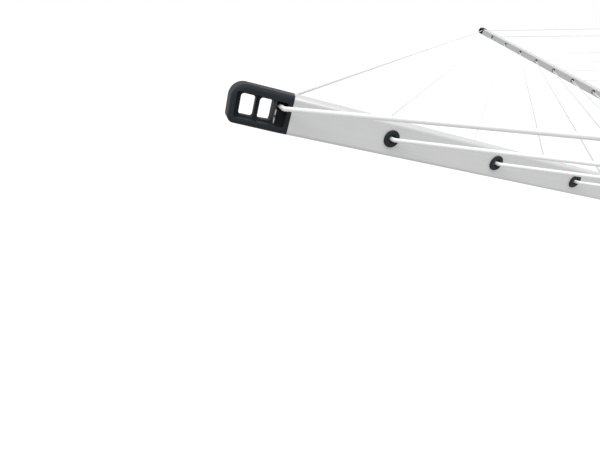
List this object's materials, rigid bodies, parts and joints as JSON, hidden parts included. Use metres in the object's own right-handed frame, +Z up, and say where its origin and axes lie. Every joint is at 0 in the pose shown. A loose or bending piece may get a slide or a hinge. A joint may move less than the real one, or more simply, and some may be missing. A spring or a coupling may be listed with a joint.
{
  "type": "rotary clothesline",
  "caption": "Umbrella-type rotary clothesline: folding arms with taut lines on a mast that turns in a ground socket, and tip caps with windows for hangers.",
  "frame": {"origin": "on the mast axis at ground level, under the ground collar", "axes": "+Z up along the mast; -X along the first arm, +Y along the second, as seen in plan"},
  "size_m": [2.9328, 2.9328, 2.3449],
  "materials": {
    "grey_tube": "satin anodised aluminium",
    "black_plastic": "fine-grained satin moulded plastic",
    "white_plastic": "plain moulded plastic",
    "white_line": "smooth PVC-covered line",
    "bright_steel": "plain zinc-plated steel",
    "socket_steel": "galvanised steel"
  },
  "bodies": {
    "ground": {"ground_socket": "socket_steel", "socket_end": "black_plastic", "socket_seat": "black_plastic", "ground_collar": "black_plastic", "collar_bush": "black_plastic"},
    "mast": {"mast_tube": "grey_tube", "mast_foot": "black_plastic", "crown": "black_plastic", "crown_cap": "black_plastic", "crown_screws": "bright_steel"},
    "runner": {"runner": "black_plastic", "runner_bushes": "white_plastic", "lever_pin": "bright_steel"},
    "clamp_lever": {"clamp_lever": "black_plastic"},
    "arm_1": {"arm_1_tube": "grey_tube", "arm_1_end_cap": "black_plastic", "arm_1_hinge_plug": "black_plastic", "arm_1_grommets": "black_plastic", "arm_1_strut_bracket": "black_plastic", "arm_1_rivets": "bright_steel", "arm_1_pin": "bright_steel", "arm_1_lines": "white_line"},
    "strut_1": {"strut_1_tube": "grey_tube", "strut_1_ends": "black_plastic", "strut_1_pins": "bright_steel"},
    "arm_2": {"arm_2_tube": "grey_tube", "arm_2_end_cap": "black_plastic", "arm_2_hinge_plug": "black_plastic", "arm_2_grommets": "black_plastic", "arm_2_strut_bracket": "black_plastic", "arm_2_rivets": "bright_steel", "arm_2_pin": "bright_steel", "arm_2_lines": "white_line"},
    "strut_2": {"strut_2_tube": "grey_tube", "strut_2_ends": "black_plastic", "strut_2_pins": "bright_steel"},
    "arm_3": {"arm_3_tube": "grey_tube", "arm_3_end_cap": "black_plastic", "arm_3_hinge_plug": "black_plastic", "arm_3_grommets": "black_plastic", "arm_3_strut_bracket": "black_plastic", "arm_3_rivets": "bright_steel", "arm_3_pin": "bright_steel", "arm_3_lines": "white_line"},
    "strut_3": {"strut_3_tube": "grey_tube", "strut_3_ends": "black_plastic", "strut_3_pins": "bright_steel"},
    "arm_4": {"arm_4_tube": "grey_tube", "arm_4_end_cap": "black_plastic", "arm_4_hinge_plug": "black_plastic", "arm_4_grommets": "black_plastic", "arm_4_strut_bracket": "black_plastic", "arm_4_rivets": "bright_steel", "arm_4_pin": "bright_steel", "arm_4_lines": "white_line"},
    "strut_4": {"strut_4_tube": "grey_tube", "strut_4_ends": "black_plastic", "strut_4_pins": "bright_steel"}
  },
  "joints": [
    {"name": "mast_spin", "type": "hinge", "parent": "ground", "child": "mast", "pos_m": [0, 0, 0], "axis": [0, 0, 1], "continuous": true},
    {"name": "runner_slide", "type": "slide", "parent": "mast", "child": "runner", "axis": [0, 0, -1], "range_m": [0, 0.69112]},
    {"name": "arm_1_swing", "type": "hinge", "parent": "runner", "child": "arm_1", "pos_m": [-0.05, 0, 1.50003], "axis": [0, 1, 0], "range_deg": [0, 70], "deforming": ["arm_1_lines"]},
    {"name": "strut_1_swing", "type": "hinge", "parent": "arm_1", "child": "strut_1", "pos_m": [-0.54026, 0, 1.67501], "axis": [0, -1, 0], "range_deg": [0, 140]},
    {"name": "arm_2_swing", "type": "hinge", "parent": "runner", "child": "arm_2", "pos_m": [0, 0.05, 1.50003], "axis": [1, 0, 0], "range_deg": [0, 70], "deforming": ["arm_2_lines"]},
    {"name": "strut_2_swing", "type": "hinge", "parent": "arm_2", "child": "strut_2", "pos_m": [0, 0.54026, 1.67501], "axis": [-1, 0, 0], "range_deg": [0, 140]},
    {"name": "arm_3_swing", "type": "hinge", "parent": "runner", "child": "arm_3", "pos_m": [0.05, 0, 1.50003], "axis": [0, -1, 0], "range_deg": [0, 70], "deforming": ["arm_3_lines"]},
    {"name": "strut_3_swing", "type": "hinge", "parent": "arm_3", "child": "strut_3", "pos_m": [0.54026, 0, 1.67501], "axis": [0, 1, 0], "range_deg": [0, 140]},
    {"name": "arm_4_swing", "type": "hinge", "parent": "runner", "child": "arm_4", "pos_m": [0, -0.05, 1.50003], "axis": [-1, 0, 0], "range_deg": [0, 70], "deforming": ["arm_4_lines"]},
    {"name": "strut_4_swing", "type": "hinge", "parent": "arm_4", "child": "strut_4", "pos_m": [0, -0.54026, 1.67501], "axis": [1, 0, 0], "range_deg": [0, 140]},
    {"name": "clamp_lever_turn", "type": "hinge", "parent": "runner", "child": "clamp_lever", "pos_m": [-0.02899, -0.02899, 1.48803], "axis": [-0.7071, 0.7071, 0], "range_deg": [0, 75]}
  ],
  "couplings": [
    {"joint": "arm_1_swing", "follows": "runner_slide", "rad_per_m": 1.7678},
    {"joint": "strut_1_swing", "follows": "runner_slide", "rad_per_m": 3.5355},
    {"joint": "arm_2_swing", "follows": "runner_slide", "rad_per_m": 1.7678},
    {"joint": "strut_2_swing", "follows": "runner_slide", "rad_per_m": 3.5355},
    {"joint": "arm_3_swing", "follows": "runner_slide", "rad_per_m": 1.7678},
    {"joint": "strut_3_swing", "follows": "runner_slide", "rad_per_m": 3.5355},
    {"joint": "arm_4_swing", "follows": "runner_slide", "rad_per_m": 1.7678},
    {"joint": "strut_4_swing", "follows": "runner_slide", "rad_per_m": 3.5355}
  ]
}
